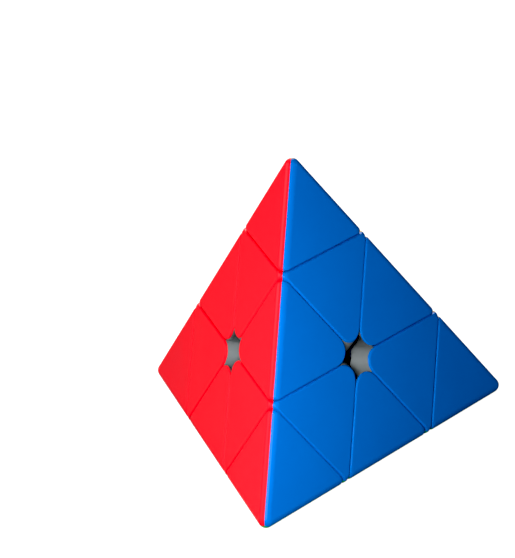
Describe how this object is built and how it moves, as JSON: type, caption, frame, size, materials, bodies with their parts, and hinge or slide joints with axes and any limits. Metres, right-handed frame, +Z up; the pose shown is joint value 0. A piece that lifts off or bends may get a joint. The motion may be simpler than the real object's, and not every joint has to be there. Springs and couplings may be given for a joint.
{
  "type": "pyramid twisty puzzle",
  "caption": "Four-sided pyramid puzzle with one colour per face. Corner layers turn on a hidden four-armed core, and the small tips spin freely.",
  "frame": {"origin": "centre of the core, where the four turning axes cross", "axes": "+Z runs up through the top tip, the base faces -Z, and the front corner points towards -Y"},
  "size_m": [0.0922, 0.0804, 0.076],
  "materials": {
    "red": "satin moulded",
    "blue": "satin moulded",
    "yellow": "satin moulded",
    "green": "satin moulded",
    "inner": "light grey moulded",
    "core": "black moulded",
    "steel": "plain"
  },
  "bodies": {
    "core": {"core": "core", "screw_top": "steel", "screw_front": "steel", "screw_right": "steel", "screw_left": "steel", "spring_top": "steel", "spring_front": "steel", "spring_right": "steel", "spring_left": "steel"},
    "axial_top": {"axial_top_body": "inner", "axial_top_cap_yellow": "yellow", "axial_top_cap_red": "red", "axial_top_cap_blue": "blue"},
    "axial_front": {"axial_front_body": "inner", "axial_front_cap_green": "green", "axial_front_cap_red": "red", "axial_front_cap_blue": "blue"},
    "axial_right": {"axial_right_body": "inner", "axial_right_cap_green": "green", "axial_right_cap_yellow": "yellow", "axial_right_cap_blue": "blue"},
    "axial_left": {"axial_left_body": "inner", "axial_left_cap_green": "green", "axial_left_cap_yellow": "yellow", "axial_left_cap_red": "red"},
    "tip_top": {"tip_top_plug": "inner", "tip_top_cap_yellow": "yellow", "tip_top_cap_red": "red", "tip_top_cap_blue": "blue"},
    "tip_front": {"tip_front_plug": "inner", "tip_front_cap_green": "green", "tip_front_cap_red": "red", "tip_front_cap_blue": "blue"},
    "tip_right": {"tip_right_plug": "inner", "tip_right_cap_green": "green", "tip_right_cap_yellow": "yellow", "tip_right_cap_blue": "blue"},
    "tip_left": {"tip_left_plug": "inner", "tip_left_cap_green": "green", "tip_left_cap_yellow": "yellow", "tip_left_cap_red": "red"},
    "edge_top_front": {"edge_top_front_body": "inner", "edge_top_front_cap_red": "red", "edge_top_front_cap_blue": "blue"},
    "edge_top_right": {"edge_top_right_body": "inner", "edge_top_right_cap_yellow": "yellow", "edge_top_right_cap_blue": "blue"},
    "edge_top_left": {"edge_top_left_body": "inner", "edge_top_left_cap_yellow": "yellow", "edge_top_left_cap_red": "red"},
    "edge_front_right": {"edge_front_right_body": "inner", "edge_front_right_cap_green": "green", "edge_front_right_cap_blue": "blue"},
    "edge_front_left": {"edge_front_left_body": "inner", "edge_front_left_cap_green": "green", "edge_front_left_cap_red": "red"},
    "edge_right_left": {"edge_right_left_body": "inner", "edge_right_left_cap_green": "green", "edge_right_left_cap_yellow": "yellow"}
  },
  "joints": [
    {"name": "turn_top", "type": "hinge", "parent": "core", "child": "axial_top", "pos_m": [0, 0, 0], "axis": [0, 0, 1], "range_deg": [-240, 120]},
    {"name": "turn_front", "type": "hinge", "parent": "core", "child": "axial_front", "pos_m": [0, 0, 0], "axis": [0, -0.9428, -0.3333], "range_deg": [-240, 120]},
    {"name": "turn_right", "type": "hinge", "parent": "core", "child": "axial_right", "pos_m": [0, 0, 0], "axis": [0.8165, 0.4714, -0.3333], "range_deg": [-240, 120]},
    {"name": "turn_left", "type": "hinge", "parent": "core", "child": "axial_left", "pos_m": [0, 0, 0], "axis": [-0.8165, 0.4714, -0.3333], "range_deg": [-240, 120]},
    {"name": "spin_tip_top", "type": "hinge", "parent": "axial_top", "child": "tip_top", "pos_m": [0, 0, 0], "axis": [0, 0, 1], "continuous": true},
    {"name": "spin_tip_front", "type": "hinge", "parent": "axial_front", "child": "tip_front", "pos_m": [0, 0, 0], "axis": [0, -0.9428, -0.3333], "continuous": true},
    {"name": "spin_tip_right", "type": "hinge", "parent": "axial_right", "child": "tip_right", "pos_m": [0, 0, 0], "axis": [0.8165, 0.4714, -0.3333], "continuous": true},
    {"name": "spin_tip_left", "type": "hinge", "parent": "axial_left", "child": "tip_left", "pos_m": [0, 0, 0], "axis": [-0.8165, 0.4714, -0.3333], "continuous": true},
    {"name": "carry_edge_top_front", "type": "hinge", "parent": "axial_top", "child": "edge_top_front", "pos_m": [0, 0, 0], "axis": [0, -0.9428, -0.3333], "range_deg": [-240, 120]},
    {"name": "carry_edge_top_right", "type": "hinge", "parent": "axial_top", "child": "edge_top_right", "pos_m": [0, 0, 0], "axis": [0.8165, 0.4714, -0.3333], "range_deg": [-240, 120]},
    {"name": "carry_edge_top_left", "type": "hinge", "parent": "axial_top", "child": "edge_top_left", "pos_m": [0, 0, 0], "axis": [-0.8165, 0.4714, -0.3333], "range_deg": [-240, 120]},
    {"name": "carry_edge_front_right", "type": "hinge", "parent": "axial_front", "child": "edge_front_right", "pos_m": [0, 0, 0], "axis": [0.8165, 0.4714, -0.3333], "range_deg": [-240, 120]},
    {"name": "carry_edge_front_left", "type": "hinge", "parent": "axial_left", "child": "edge_front_left", "pos_m": [0, 0, 0], "axis": [0, -0.9428, -0.3333], "range_deg": [-240, 120]},
    {"name": "carry_edge_right_left", "type": "hinge", "parent": "axial_right", "child": "edge_right_left", "pos_m": [0, 0, 0], "axis": [-0.8165, 0.4714, -0.3333], "range_deg": [-240, 120]}
  ],
  "couplings": [
    {"joint": "carry_edge_top_front", "follows": "turn_front", "ratio": 1},
    {"joint": "carry_edge_top_right", "follows": "turn_right", "ratio": 1},
    {"joint": "carry_edge_top_left", "follows": "turn_left", "ratio": 1},
    {"joint": "carry_edge_front_right", "follows": "turn_right", "ratio": 1},
    {"joint": "carry_edge_front_left", "follows": "turn_front", "ratio": 1},
    {"joint": "carry_edge_right_left", "follows": "turn_left", "ratio": 1}
  ]
}
